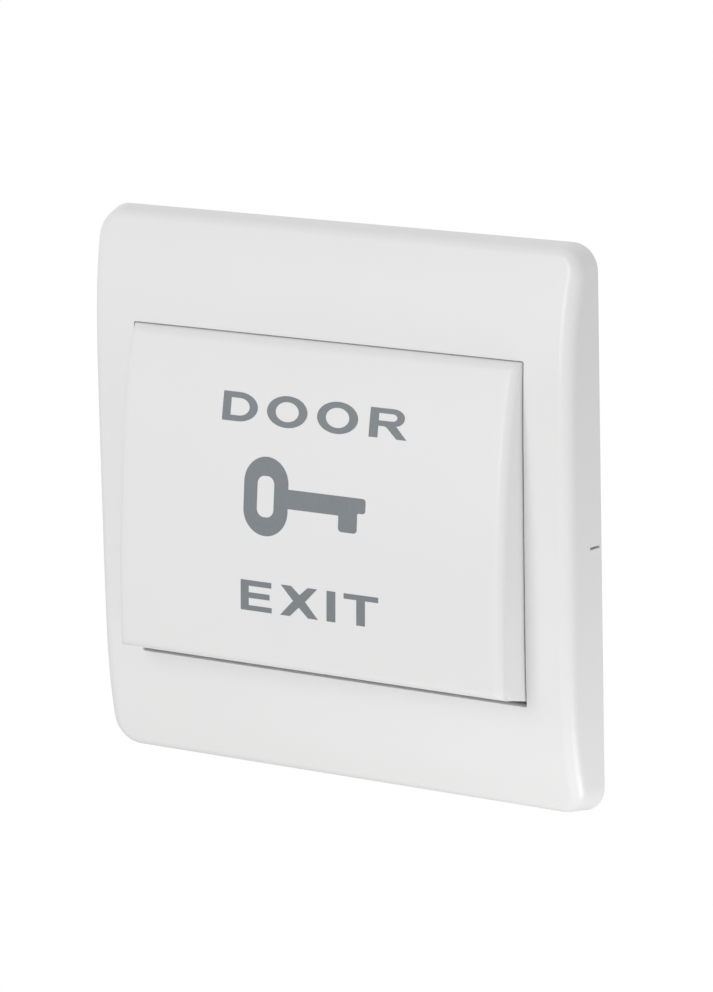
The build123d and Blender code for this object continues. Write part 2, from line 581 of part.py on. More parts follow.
def build_switch_housing():
    size = (HOUSING_WIDTH, HOUSING_HEIGHT)
    body = slab(*size, -HOUSING_BACK, -LID_BACK, z=PLUNGER_HEIGHT, radius=HOUSING_RADIUS)
    ear_back = LID_BACK + SCREW_EAR_DEPTH
    body += screw_ears(-ear_back, -LID_BACK)
    chamber_height = HOUSING_HEIGHT - 2 * HOUSING_WALL
    body -= slab(CHAMBER_WIDTH, chamber_height, -CHAMBER_FLOOR, -LID_BACK, z=PLUNGER_HEIGHT)
    recess_width = CHAMBER_WIDTH - 2 * REAR_RECESS_MARGIN
    recess_floor = HOUSING_BACK - REAR_RECESS
    body -= slab(recess_width, chamber_height, -HOUSING_BACK, -recess_floor, z=PLUNGER_HEIGHT)
    bottom = PLUNGER_HEIGHT - HOUSING_HEIGHT / 2
    wing_inner = CHAMBER_WIDTH / 2 + HOUSING_WALL
    wing_outer = HOUSING_WIDTH / 2 - HOUSING_WALL
    for side in (-1, 1):
        x = side * TERMINAL_OFFSET

        # Pocket for the terminal, open to the back, with a deeper trough where the wire comes in
        top = PLUNGER_HEIGHT + POCKET_TOP
        body -= slab(POCKET_WIDTH, top - bottom, -HOUSING_BACK, -STRIP_FRONT, x=x, z=(top + bottom) / 2)
        trough = (WIRE_TROUGH_WIDTH, WIRE_TROUGH_HEIGHT)
        body -= slab(*trough, -HOUSING_BACK, WIRE_TROUGH_DEPTH - HOUSING_BACK, x=x, z=TROUGH_MIDDLE)

        # The wing is cored from the front, round a boss that takes the screw's tip
        core_top = top - HOUSING_WALL
        core_bottom = bottom + WIRE_TROUGH_HEIGHT + HOUSING_WALL
        core_size = (wing_outer - wing_inner, core_top - core_bottom)
        core_x = side * (wing_inner + wing_outer) / 2
        core_back = STRIP_FRONT - HOUSING_WALL
        core = slab(*core_size, -core_back, -LID_BACK, x=core_x, z=(core_top + core_bottom) / 2)
        boss_radius = TERMINAL_HOLE_RADIUS + TERMINAL_BOSS_WALL
        core -= rod(boss_radius, -core_back, -LID_BACK, x=x, z=PLUNGER_HEIGHT)
        body -= core
        screw_reach = TERMINAL_SCREW_LENGTH - CLAMP_THICKNESS - STRIP_THICKNESS
        tip_room = STRIP_FRONT - screw_reach - SCREW_TIP_ROOM
        body -= rod(TERMINAL_HOLE_RADIUS, -STRIP_FRONT, -tip_room, x=x, z=PLUNGER_HEIGHT)

        # Slot in the partition that the contact strip passes through
        slot_width = TERMINAL_OFFSET - CHAMBER_WIDTH / 2 + STRIP_SLOT_GAP
        slot_x = side * (CHAMBER_WIDTH / 2 + slot_width / 2 - STRIP_SLOT_GAP)
        slot_height = STRIP_WIDTH + 2 * STRIP_SLOT_GAP
        body -= slab(slot_width, slot_height, -CHAMBER_FLOOR, -STRIP_FRONT, x=slot_x, z=PLUNGER_HEIGHT)
    pilot = HOUSING_SCREW_RADIUS + HOUSING_PILOT_GAP
    for z in SCREW_EAR_HEIGHTS:
        body -= rod(pilot, -ear_back, -LID_BACK, z=z)
    return body


# Plunger: head, square stem and the window that carries the bridge contact


def build_plunger():
    head_back = HEAD_DEPTH - HEAD_THICKNESS
    stem_end = BRIDGE_BACK + STEM_END_BAR
    body = rod(HEAD_DIAMETER / 2, head_back, HEAD_DEPTH, z=PLUNGER_HEIGHT)
    body = fillet(body.faces().sort_by(Axis.Y)[0].edges(), HEAD_FILLET)
    body += slab(STEM_WIDTH, STEM_HEIGHT, -stem_end, head_back, z=PLUNGER_HEIGHT)
    window_front = BRIDGE_FRONT - CONTACT_SPRING_LENGTH
    body -= slab(2 * STEM_WIDTH, STEM_WINDOW_HEIGHT, -BRIDGE_BACK, -window_front, z=PLUNGER_HEIGHT)
    return body


# Contacts: a brass bridge on the plunger, two fixed brass strips, and silver tips on all of them


def contact_tip(front, back, x, domed_front):
    """A round silver rivet head between two depths behind the wall plane, domed on one face."""
    tip = rod(TIP_RADIUS, -back, -front, x=x, z=PLUNGER_HEIGHT)
    face = tip.faces().sort_by(Axis.Y)[0 if domed_front else -1]
    return fillet(face.edges(), TIP_DOME)


def build_bridge_contact():
    depths = (-BRIDGE_BACK, -BRIDGE_FRONT)
    return slab(BRIDGE_LENGTH, BRIDGE_WIDTH, *depths, z=PLUNGER_HEIGHT, radius=BRIDGE_RADIUS)


def build_contact_strip(side):
    end = TERMINAL_OFFSET + CLAMP_SIZE / 2
    size = (end - STRIP_START, STRIP_WIDTH)
    depths = (-CHAMBER_FLOOR, -STRIP_FRONT)
    middle = side * (STRIP_START + end) / 2
    strip = slab(*size, *depths, x=middle, z=PLUNGER_HEIGHT, radius=STRIP_RADIUS)
    return strip - rod(TERMINAL_HOLE_RADIUS, *depths, x=side * TERMINAL_OFFSET, z=PLUNGER_HEIGHT)


# Fasteners: pan heads with a cross recess


def cross_recess(head_face, into, radius, x, z):
    """Two crossed slots cut into a screw head from its face, along the depth direction given by into."""
    low, high = sorted((head_face, head_face + into * DRIVE_SLOT_DEPTH))
    length = 2 * DRIVE_SLOT_SHARE * radius
    cross = slab(length, DRIVE_SLOT_WIDTH, low, high, x=x, z=z)
    cross += slab(DRIVE_SLOT_WIDTH, length, low, high, x=x, z=z)
    return cross


def build_terminal_screw(side):
    x = side * TERMINAL_OFFSET
    seat = CHAMBER_FLOOR + CLAMP_THICKNESS
    head = rod(TERMINAL_HEAD_RADIUS, -seat - TERMINAL_HEAD_HEIGHT, -seat, x=x, z=PLUNGER_HEIGHT)
    head = fillet(head.faces().sort_by(Axis.Y)[-1].edges(), SCREW_HEAD_FILLET)
    head -= cross_recess(-seat - TERMINAL_HEAD_HEIGHT, 1, TERMINAL_HEAD_RADIUS, x, PLUNGER_HEIGHT)
    return head + rod(TERMINAL_SCREW_RADIUS, -seat, TERMINAL_SCREW_LENGTH - seat, x=x, z=PLUNGER_HEIGHT)


def build_clamp_plate(side):
    x = side * TERMINAL_OFFSET
    top = CHAMBER_FLOOR + CLAMP_THICKNESS
    plate = slab(CLAMP_SIZE, CLAMP_SIZE, -top, -CHAMBER_FLOOR, x=x, z=PLUNGER_HEIGHT, radius=CLAMP_RADIUS)
    return plate - rod(TERMINAL_HOLE_RADIUS, -top, -CHAMBER_FLOOR, x=x, z=PLUNGER_HEIGHT)


def build_housing_screw(z):
    head_top = PLATE_THICKNESS + HOUSING_HEAD_HEIGHT
    head = rod(HOUSING_HEAD_RADIUS, PLATE_THICKNESS, head_top, z=z)
    head = fillet(head.faces().sort_by(Axis.Y)[0].edges(), SCREW_HEAD_FILLET)
    head -= cross_recess(head_top, -1, HOUSING_HEAD_RADIUS, 0, z)
    return head + rod(HOUSING_SCREW_RADIUS, PLATE_THICKNESS - HOUSING_SCREW_LENGTH, PLATE_THICKNESS, z=z)


# Springs


def build_button_spring(side):
    length = cap_inside(BUTTON_SPRING_HEIGHT) - PLATE_THICKNESS - CAP_LEAN * BUTTON_SPRING_INSIDE
    wire = (BUTTON_SPRING_INSIDE, BUTTON_SPRING_WIRE)
    place = (PLATE_THICKNESS, side * BUTTON_SPRING_OFFSET, BUTTON_SPRING_HEIGHT)
    return coil(*wire, length, BUTTON_SPRING_TURNS, *place)


def build_plunger_spring():
    length = HEAD_DEPTH - HEAD_THICKNESS - PLATE_THICKNESS
    wire = (PLUNGER_SPRING_INSIDE, PLUNGER_SPRING_WIRE)
    return coil(*wire, length, PLUNGER_SPRING_TURNS, PLATE_THICKNESS, 0, PLUNGER_HEIGHT)


def build_contact_spring():
    wire = (CONTACT_SPRING_INSIDE, CONTACT_SPRING_WIRE)
    return coil(*wire, CONTACT_SPRING_LENGTH, CONTACT_SPRING_TURNS, -BRIDGE_FRONT, 0, PLUNGER_HEIGHT)


parts = {
    "face_frame": build_face_frame(),
    "exit_button": build_exit_button(),
    "mounting_plate": build_mounting_plate(),
    "switch_lid": build_switch_lid(),
    "switch_housing": build_switch_housing(),
    "plunger": build_plunger(),
    "bridge_contact": build_bridge_contact(),
    "plunger_spring": build_plunger_spring(),
    "contact_spring": build_contact_spring(),
    "housing_screw_upper": build_housing_screw(SCREW_EAR_HEIGHTS[0]),
    "housing_screw_lower": build_housing_screw(SCREW_EAR_HEIGHTS[1]),
}
for word, side in (("left", -1), ("right", 1)):
    tip_x = side * TIP_OFFSET
    parts["bridge_tip_" + word] = contact_tip(BRIDGE_BACK, BRIDGE_TIP_BACK, tip_x, False)
    parts["fixed_tip_" + word] = contact_tip(FIXED_TIP_FRONT, STRIP_FRONT, tip_x, True)
    parts["contact_strip_" + word] = build_contact_strip(side)
    parts["clamp_plate_" + word] = build_clamp_plate(side)
    parts["terminal_screw_" + word] = build_terminal_screw(side)
    parts["button_spring_" + word] = build_button_spring(side)

os.makedirs("parts", exist_ok=True)
for name, shape in parts.items():
    export_step(shape, "parts/" + name + ".step")
    print(name, "solids", len(shape.solids()), "volume", round(shape.volume, 2))
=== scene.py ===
import math

import bmesh
import bpy
import numpy as np
from mathutils import Matrix, Vector


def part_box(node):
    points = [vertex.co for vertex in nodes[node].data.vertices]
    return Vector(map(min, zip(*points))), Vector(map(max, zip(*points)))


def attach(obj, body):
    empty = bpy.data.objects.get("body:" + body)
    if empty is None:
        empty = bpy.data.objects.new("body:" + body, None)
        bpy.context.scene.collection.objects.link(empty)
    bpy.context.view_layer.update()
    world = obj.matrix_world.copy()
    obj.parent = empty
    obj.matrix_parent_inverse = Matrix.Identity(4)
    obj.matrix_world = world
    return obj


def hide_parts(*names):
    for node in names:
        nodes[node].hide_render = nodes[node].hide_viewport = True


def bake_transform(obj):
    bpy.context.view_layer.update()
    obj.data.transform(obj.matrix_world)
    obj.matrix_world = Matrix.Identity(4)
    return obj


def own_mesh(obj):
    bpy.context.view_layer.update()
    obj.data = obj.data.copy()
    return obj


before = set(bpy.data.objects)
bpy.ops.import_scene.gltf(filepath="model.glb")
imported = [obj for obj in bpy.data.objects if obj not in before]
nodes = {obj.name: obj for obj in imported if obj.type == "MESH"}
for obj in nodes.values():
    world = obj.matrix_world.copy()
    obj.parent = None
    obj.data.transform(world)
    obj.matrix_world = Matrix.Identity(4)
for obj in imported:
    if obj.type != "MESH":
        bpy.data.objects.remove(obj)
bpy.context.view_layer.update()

mm = 0.001

# The view of the photograph: a long lens to the right of the button and a little above it.
# Angles, distance and focal length come from fitting an 86 mm square to the outline in the picture.
VIEW_AZIMUTH = math.radians(32.344)
VIEW_ELEVATION = math.radians(13.799)
VIEW_ROLL = math.radians(-1.485)
VIEW_DISTANCE = 693.96 * mm
VIEW_RIGHT = 0.62 * mm
VIEW_UP = 0.892 * mm
NEAREST_SEEN = 10 * mm
PICTURE_HEIGHT = 992
FOCAL_LENGTH_IN_PIXELS = 4589
SENSOR_HEIGHT = 36

back = Vector((math.sin(VIEW_AZIMUTH) * math.cos(VIEW_ELEVATION),
               -math.cos(VIEW_AZIMUTH) * math.cos(VIEW_ELEVATION),
               math.sin(VIEW_ELEVATION)))
level_right = Vector((math.cos(VIEW_AZIMUTH), math.sin(VIEW_AZIMUTH), 0))
level_up = back.cross(level_right)
right = math.cos(VIEW_ROLL) * level_right + math.sin(VIEW_ROLL) * level_up
up = math.cos(VIEW_ROLL) * level_up - math.sin(VIEW_ROLL) * level_right
camera = bpy.data.objects.new("camera", bpy.data.cameras.new("camera"))
camera.data.sensor_width = SENSOR_HEIGHT
camera.data.lens = FOCAL_LENGTH_IN_PIXELS / PICTURE_HEIGHT * SENSOR_HEIGHT
camera.data.clip_start = NEAREST_SEEN
place = Matrix((right, up, back)).transposed().to_4x4()
place.translation = VIEW_DISTANCE * back + VIEW_RIGHT * right + VIEW_UP * up
camera.matrix_world = place
bpy.context.scene.collection.objects.link(camera)
bpy.context.scene.camera = camera
bpy.context.scene.view_settings.view_transform = "Standard"


# The studio: soft white light all round, a tall softbox in front, a weak strip below it and a small panel
# close to the lower right corner, which makes the side face brighter towards its foot. The table is pale and
# lies well below the button. The camera sees it and the surroundings as plain white.
AMBIENT_LEVEL = 0.614
TABLE_HEIGHT = -600 * mm
TABLE_SIZE = 8.0
SOFTBOXES = {  # place of the middle, width and height in metres, and power in watts
    "softbox_front": ((-0.20, -0.90, 0.33), 0.40, 0.75, 3.1),
    "strip_below": ((0.00, -0.30, -0.24), 0.40, 0.12, 0.137),
    "panel_low_right": ((0.15, -0.03, -0.12), 0.08, 0.08, 0.085),
}
WHITE = "#FFFFFF"
TABLE_COLOUR = "#EDEDEC"


def linear(code):
    """An sRGB colour such as "#E6E6E4" as linear red, green and blue with an alpha of 1."""
    channels = np.array([int(code[i:i + 2], 16) for i in (1, 3, 5)]) / 255
    curved = ((channels + 0.055) / 1.055) ** 2.4
    return (*np.where(channels <= 0.04045, channels / 12.92, curved).tolist(), 1.0)


def add(tree, kind, settings=None, inputs=None):
    """Adds a shader node, sets its own settings, and gives each named input a value or joins it to an
    output."""
    node = tree.nodes.new("ShaderNode" + kind)
    for name, value in (settings or {}).items():
        setattr(node, name, value)
    for name, value in (inputs or {}).items():
        if isinstance(value, bpy.types.NodeSocket):
            tree.links.new(value, node.inputs[name])
        else:
            node.inputs[name].default_value = value
    return node


world = bpy.data.worlds.new("studio")
world.use_nodes = True
bpy.context.scene.world = world
tree = world.node_tree
tree.nodes.clear()
path = add(tree, "LightPath")
seen = add(tree, "Math", {"operation": "MAXIMUM"},
           {0: path.outputs["Is Camera Ray"], 1: path.outputs["Is Glossy Ray"]})
ambient = add(tree, "Background", None, {"Color": linear(WHITE), "Strength": AMBIENT_LEVEL})
plain_white = add(tree, "Background", None, {"Color": linear(WHITE), "Strength": 1.0})
mixed = add(tree, "MixShader", None, {0: seen.outputs[0], 1: ambient.outputs[0], 2: plain_white.outputs[0]})
add(tree, "OutputWorld", None, {"Surface": mixed.outputs[0]})

for name, (place, width, height, power) in SOFTBOXES.items():
    lamp = bpy.data.lights.new(name, "AREA")
    lamp.shape = "RECTANGLE"
    lamp.size = width
    lamp.size_y = height
    lamp.energy = power
    lamp_object = bpy.data.objects.new(name, lamp)
    lamp_object.location = place
    lamp_object.rotation_euler = Vector(place).to_track_quat("Z", "Y").to_euler()
    lamp_object.visible_camera = False
    bpy.context.scene.collection.objects.link(lamp_object)

half = TABLE_SIZE / 2
table_corners = [(x, y, TABLE_HEIGHT)
                 for x, y in ((-half, -half), (half, -half), (half, half), (-half, half))]
table_mesh = bpy.data.meshes.new("table")
table_mesh.from_pydata(table_corners, [], [(0, 1, 2, 3)])
table = bpy.data.objects.new("table", table_mesh)
bpy.context.scene.collection.objects.link(table)
painted = bpy.data.materials.new("white_table")
painted.use_nodes = True
tree = painted.node_tree
tree.nodes.clear()
path = add(tree, "LightPath")
top = add(tree, "BsdfDiffuse", None, {"Color": linear(TABLE_COLOUR)})
glow = add(tree, "Emission", None, {"Color": linear(WHITE), "Strength": 1.0})
mixed = add(tree, "MixShader", None,
            {0: path.outputs["Is Camera Ray"], 1: top.outputs[0], 2: glow.outputs[0]})
add(tree, "OutputMaterial", None, {"Surface": mixed.outputs[0]})
table_mesh.materials.append(painted)


# Mounting plate: white ABS, moulded in a tool with a fine spark-eroded texture, screwed to the wall box.
# The texture makes it matt, and the melt has left soft cloudy flow in its shade. Its back shows where
# the ejector pins pushed it out of the tool: flat discs a hair proud of the face.
PLATE_COLOUR = "#E3E2DE"
PLATE_ROUGHNESS = 0.5
PLATE_GRAIN = 0.45
PLATE_GRAIN_DEPTH = 0.006
FLOW_SIZE = 20
GLOSS_PATCH_SIZE = 6
GLOSS_DRIFT = 0.1
PLASTIC_IOR = 1.53
EJECTOR_PIN_RADIUS = 2.0
EJECTOR_PIN_STEP = 0.06
EJECTOR_PIN_EDGE = 0.25
EJECTOR_PIN_MIDDLE = 0.05
EJECTOR_PIN_COLUMNS = 40
EJECTOR_PINS = ((-33, 33), (0, 33), (33, 33), (-33, -33), (0, -33), (33, -33),
                (-33, 12), (33, 12), (-33, -14), (33, -14))


def moulded_plastic(name, colour, roughness, grain, grain_depth, cloud=0.012):
    """A moulded plastic: its colour drifts slightly over about 20 mm where the melt flowed, its gloss drifts
    over about 6 mm, and a fine even grain of the tool, its size and depth in mm, breaks the surface. The
    roughness stays above 0.275 everywhere, because one that drifts across about 0.27 renders in patches."""
    material = bpy.data.materials.new(name)
    material.use_nodes = True
    tree = material.node_tree
    tree.nodes.clear()
    spot = add(tree, "TexCoord").outputs["Object"]
    flow = add(tree, "TexNoise", None,
               {"Vector": spot, "Scale": 1 / (FLOW_SIZE * mm), "Detail": 2.0, "Roughness": 0.5})
    light = add(tree, "MapRange", None, {"Value": flow.outputs["Fac"], "From Min": 0.3, "From Max": 0.7,
                                         "To Min": 1 - cloud, "To Max": 1 + cloud})
    shade = add(tree, "VectorMath", {"operation": "SCALE"},
                {0: linear(colour)[:3], "Scale": light.outputs[0]})
    patch = add(tree, "TexNoise", None,
                {"Vector": spot, "Scale": 1 / (GLOSS_PATCH_SIZE * mm), "Detail": 3.0, "Roughness": 0.6})
    gloss = add(tree, "MapRange", None,
                {"Value": patch.outputs["Fac"], "From Min": 0.3, "From Max": 0.7,
                 "To Min": roughness * (1 - GLOSS_DRIFT), "To Max": roughness * (1 + GLOSS_DRIFT)})
    pits = add(tree, "TexNoise", None,
               {"Vector": spot, "Scale": 1 / (grain * mm), "Detail": 2.0, "Roughness": 0.55})
    relief = add(tree, "Bump", None,
                 {"Height": pits.outputs["Fac"], "Strength": 1.0, "Distance": grain_depth * mm})
    plastic = add(tree, "BsdfPrincipled", None,
                  {"Base Color": shade.outputs[0], "Roughness": gloss.outputs[0],
                   "Normal": relief.outputs[0], "IOR": PLASTIC_IOR})
    add(tree, "OutputMaterial", None, {"Surface": plastic.outputs[0]})
    return material


def finish(material, *names):
    """Gives one material to the CAD pieces of these names."""
    for name in names:
        mesh = nodes[name].data
        mesh.materials.clear()
        mesh.materials.append(material)


def skin(name, grid, material, sharp):
    """A closed piece from a grid of points in mm, rows along it and columns round it. Neighbouring rows and
    columns are joined by four-sided faces, the last column meets the first, and one face closes each end. The
    faces are turned over if the volume under them is negative, and edges over the sharp angle stay crisp."""
    rows, columns, _ = grid.shape
    number = np.arange(rows * columns).reshape(rows, columns)
    beside = np.roll(number, -1, axis=1)
    faces = np.stack([number[:-1], beside[:-1], beside[1:], number[1:]], axis=-1).reshape(-1, 4)
    points = grid.reshape(-1, 3) * mm
    corners = points[faces]
    volume = np.einsum("ij,ij->i", corners[:, 0], np.cross(corners[:, 1], corners[:, 2])).sum()
    volume += np.einsum("ij,ij->i", corners[:, 0], np.cross(corners[:, 2], corners[:, 3])).sum()
    ends = [number[0][::-1].tolist(), number[-1].tolist()]
    faces = faces.tolist() + ends
    mesh = bpy.data.meshes.new(name)
    mesh.from_pydata(points.tolist(), [], faces)
    if volume < 0:
        mesh.flip_normals()
    mesh.polygons.foreach_set("use_smooth", np.ones(len(faces), bool))
    mesh.set_sharp_from_angle(angle=math.radians(sharp))
    mesh.materials.append(material)
    piece = bpy.data.objects.new(name, mesh)
    bpy.context.scene.collection.objects.link(piece)
    return piece


def turned(profile, columns, x, z):
    """A profile of (radius, y) pairs turned about an axis square to the wall: each point is the radius times
    the cosine and sine of the angle, at its own depth."""
    angle = np.linspace(0, 2 * np.pi, columns, endpoint=False)
    radius, depth = np.array(profile).T
    return np.stack([x + radius[:, None] * np.cos(angle), np.repeat(depth[:, None], columns, 1),
                     z + radius[:, None] * np.sin(angle)], axis=-1)


plate_plastic = moulded_plastic("matt_moulded_abs", PLATE_COLOUR, PLATE_ROUGHNESS, PLATE_GRAIN,
                                PLATE_GRAIN_DEPTH)
finish(plate_plastic, "mounting_plate")
pin_profile = [(EJECTOR_PIN_MIDDLE, EJECTOR_PIN_STEP),
               (EJECTOR_PIN_RADIUS - EJECTOR_PIN_EDGE, EJECTOR_PIN_STEP),
               (EJECTOR_PIN_RADIUS, 0.0),
               (EJECTOR_PIN_RADIUS, -EJECTOR_PIN_STEP),
               (EJECTOR_PIN_MIDDLE, -EJECTOR_PIN_STEP)]
for number, (x, z) in enumerate(EJECTOR_PINS, 1):
    disc = turned(pin_profile, EJECTOR_PIN_COLUMNS, x, z)
    mark = skin(f"plate_pin_mark_{number}", disc, plate_plastic, sharp=40)
    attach(mark, "base")


# Switch housing and lid: black nylon, moulded, with a fine dull grain. Its charcoal black drifts by about a
# tenth where the melt flowed. The lid is clamped between the plate and the housing by two screws.
HOUSING_COLOUR = "#2B2B2D"
HOUSING_ROUGHNESS = 0.48
HOUSING_GRAIN = 0.35
HOUSING_GRAIN_DEPTH = 0.008
HOUSING_CLOUD = 0.12

housing_plastic = moulded_plastic("black_nylon", HOUSING_COLOUR, HOUSING_ROUGHNESS, HOUSING_GRAIN,
                                  HOUSING_GRAIN_DEPTH, HOUSING_CLOUD)
finish(housing_plastic, "switch_housing", "switch_lid")


# Contacts: strips and bridge stamped from half-hard brass, rolled along their length, so fine lines run along
# X and streak their warm shine. The tips are silver rivets, softly polished and a little tarnished.
BRASS_COLOUR = "#C9A35C"
BRASS_STAIN = "#A98548"
BRASS_ROUGHNESS = 0.3
BRASS_LINE = 0.15
BRASS_LINE_DEPTH = 0.004
BRASS_STRETCH = (12, 1, 1)
SILVER_COLOUR = "#D9D6CF"
SILVER_STAIN = "#BDB7AA"
SILVER_ROUGHNESS = 0.25
SILVER_LINE = 0.2
SILVER_LINE_DEPTH = 0.002
EVEN = (1, 1, 1)
STAIN_SIZE = 3


def worked_metal(name, colour, stain, roughness, stretch, line, depth):
    """A metal with fine tool lines: noise whose size across the lines is given in mm and which the stretch
    draws out along X, Y and Z. The colour drifts towards the stain in patches of about 3 mm."""
    material = bpy.data.materials.new(name)
    material.use_nodes = True
    tree = material.node_tree
    tree.nodes.clear()
    spot = add(tree, "TexCoord").outputs["Object"]
    drawn = add(tree, "Mapping", None, {"Vector": spot, "Scale": [1 / (s * line * mm) for s in stretch]})
    lines = add(tree, "TexNoise", None, {"Vector": drawn.outputs[0], "Scale": 1.0, "Detail": 3.0})
    cloud = add(tree, "TexNoise", None, {"Vector": spot, "Scale": 1 / (STAIN_SIZE * mm), "Detail": 3.0})
    amount = add(tree, "MapRange", None, {"Value": cloud.outputs["Fac"], "From Min": 0.45, "From Max": 0.75})
    shade = add(tree, "MixRGB", None,
                {"Fac": amount.outputs[0], "Color1": linear(colour), "Color2": linear(stain)})
    gloss = add(tree, "MapRange", None, {"Value": lines.outputs["Fac"], "From Min": 0.3, "From Max": 0.7,
                                         "To Min": roughness * 0.8, "To Max": roughness * 1.25})
    relief = add(tree, "Bump", None,
                 {"Height": lines.outputs["Fac"], "Strength": 1.0, "Distance": depth * mm})
    metal = add(tree, "BsdfPrincipled", None, {"Base Color": shade.outputs[0], "Metallic": 1.0,
                                               "Roughness": gloss.outputs[0], "Normal": relief.outputs[0]})
    add(tree, "OutputMaterial", None, {"Surface": metal.outputs[0]})
    return material


brass = worked_metal("rolled_brass", BRASS_COLOUR, BRASS_STAIN, BRASS_ROUGHNESS, BRASS_STRETCH,
                     BRASS_LINE, BRASS_LINE_DEPTH)
silver = worked_metal("contact_silver", SILVER_COLOUR, SILVER_STAIN, SILVER_ROUGHNESS, EVEN,
                      SILVER_LINE, SILVER_LINE_DEPTH)
finish(brass, "bridge_contact", "contact_strip_left", "contact_strip_right")
finish(silver, "bridge_tip_left", "bridge_tip_right", "fixed_tip_left", "fixed_tip_right")


# Terminals and housing screws: steel, zinc plated and passivated to a cool grey, turned heads with a cross
# recess and a rolled thread. A square plate under each terminal head clamps the bare wire.
ZINC_COLOUR = "#C4C8CA"
ZINC_STAIN = "#B9BBB4"
ZINC_ROUGHNESS = 0.32
ZINC_LINE = 0.3
ZINC_LINE_DEPTH = 0.003
SCREWS = {  # 1 for a head at the back or -1 for the front, then head height, shank radius and pitch in mm
    "terminal_screw_left": (1, 1.4, 1.45, 0.5),
    "terminal_screw_right": (1, 1.4, 1.45, 0.5),
    "housing_screw_upper": (-1, 1.4, 1.3, 0.9),
    "housing_screw_lower": (-1, 1.4, 1.3, 0.9),
}
SCREW_COLUMNS = 96
HEAD_MIDDLE = 0.05
HEAD_DOME = 0.12
HEAD_ROUND = 0.7
HEAD_ROWS = 40
HEAD_ROUND_ROWS = 8
RECESS_WIDTH = 0.85
RECESS_REACH = 1.75
RECESS_DEPTH = 0.85
RECESS_SLOPE = 0.16
THREAD_DEPTH = 0.26
THREAD_ROWS_PER_TURN = 10
THREAD_STEEPNESS = 1.6
THREAD_ROOT = 0.3
THREAD_FADE_AT_HEAD = 0.6
THREAD_FADE_AT_TIP = 1.2


def threaded_screw(name, node, outwards, head_height, shank_radius, pitch, material):
    """A pan head screw as one skin, from the middle of its recess over the head, under it and down to the
    tip. The recess lowers the head where a point lies inside either arm of a cross. The thread widens the
    shank by a ridge wherever depth divided by the pitch, less the angle in turns, is near a whole number."""
    low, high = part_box(node)
    x, z = (low.x + high.x) / 2 / mm, (low.z + high.z) / 2 / mm
    head_radius = (high.x - low.x) / 2 / mm
    head_top = (high.y if outwards > 0 else low.y) / mm
    tip = (low.y if outwards > 0 else high.y) / mm
    seat = head_top - outwards * head_height
    length = abs(seat - tip)

    turn = np.linspace(0, np.pi / 2, HEAD_ROUND_ROWS)
    over = np.linspace(HEAD_MIDDLE, head_radius - HEAD_ROUND, HEAD_ROWS)
    dome = HEAD_DOME * (1 - (over / head_radius) ** 2)
    side = np.stack([head_radius - HEAD_ROUND * (1 - np.sin(turn)),
                     head_height - HEAD_ROUND * (1 - np.cos(turn))], 1)
    shank_rows = int(length / pitch * THREAD_ROWS_PER_TURN)
    down = np.linspace(0, -length, shank_rows)
    narrow = shank_radius - THREAD_DEPTH * np.ones(shank_rows)
    profile = np.concatenate([np.stack([over, head_height - HEAD_DOME + dome], 1), side,
                              [(head_radius, 0.0), (shank_radius, 0.0)], np.stack([narrow, down], 1)])
    angle = np.linspace(0, 2 * np.pi, SCREW_COLUMNS, endpoint=False)
    radius = np.repeat(profile[:, :1], SCREW_COLUMNS, 1)
    height = np.repeat(profile[:, 1:], SCREW_COLUMNS, 1)

    across, along = radius * np.cos(angle), radius * np.sin(angle)
    arms = [np.clip((RECESS_WIDTH / 2 - abs(p)) / RECESS_SLOPE + 0.5, 0, 1)
            * np.clip((RECESS_REACH - abs(q)) / (2 * RECESS_SLOPE), 0, 1)
            for p, q in ((across, along), (along, across))]
    height[:len(over)] -= RECESS_DEPTH * np.maximum(*arms)[:len(over)]

    shank = slice(len(profile) - shank_rows, None)
    phase = (outwards * -height[shank] / pitch - outwards * angle / (2 * np.pi)) % 1
    ridge = np.clip(THREAD_STEEPNESS * abs(2 * phase - 1) - THREAD_ROOT, 0, 1)
    fade = (np.clip(-height[shank] / (THREAD_FADE_AT_HEAD * pitch), 0, 1)
            * np.clip((height[shank] + length) / (THREAD_FADE_AT_TIP * pitch), 0, 1))
    radius[shank] += THREAD_DEPTH * ridge * fade
    points = np.stack([x + radius * np.cos(angle), seat + outwards * height,
                       z + radius * np.sin(angle)], axis=-1)
    return skin(name, points, material, sharp=50)


zinc = worked_metal("zinc_plated_steel", ZINC_COLOUR, ZINC_STAIN, ZINC_ROUGHNESS, EVEN,
                    ZINC_LINE, ZINC_LINE_DEPTH)
finish(zinc, "clamp_plate_left", "clamp_plate_right")
for node, (outwards, head_height, shank_radius, pitch) in SCREWS.items():
    screw = threaded_screw(node + "_threaded", node, outwards, head_height, shank_radius, pitch, zinc)
    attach(screw, "base")
    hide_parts(node)


# Springs: cold-wound steel wire with closed ends ground flat, so they stand square on their seats. The wire
# is drawn and lightly oiled, a dark even grey. The two under the button stand on the plate and reach up to
# the button, and are joined to neither body.
SPRING_COLOUR = "#8D8F90"
SPRING_STAIN = "#77797A"
SPRING_ROUGHNESS = 0.35
SPRING_LINE = 0.25
SPRING_LINE_DEPTH = 0.002
SPRINGS = {  # wire thickness in mm, turns in all, closed turns at each end, bodies at its rear and front end
    "button_spring_left": (0.5, 6.5, 1.0, "base", "button"),
    "button_spring_right": (0.5, 6.5, 1.0, "base", "button"),
    "plunger_spring": (0.45, 4.0, 0.9, "base", "base"),
    "contact_spring": (0.3, 4.5, 0.9, "plunger", "plunger"),
}
COIL_ROWS_PER_TURN = 36
WIRE_COLUMNS = 14

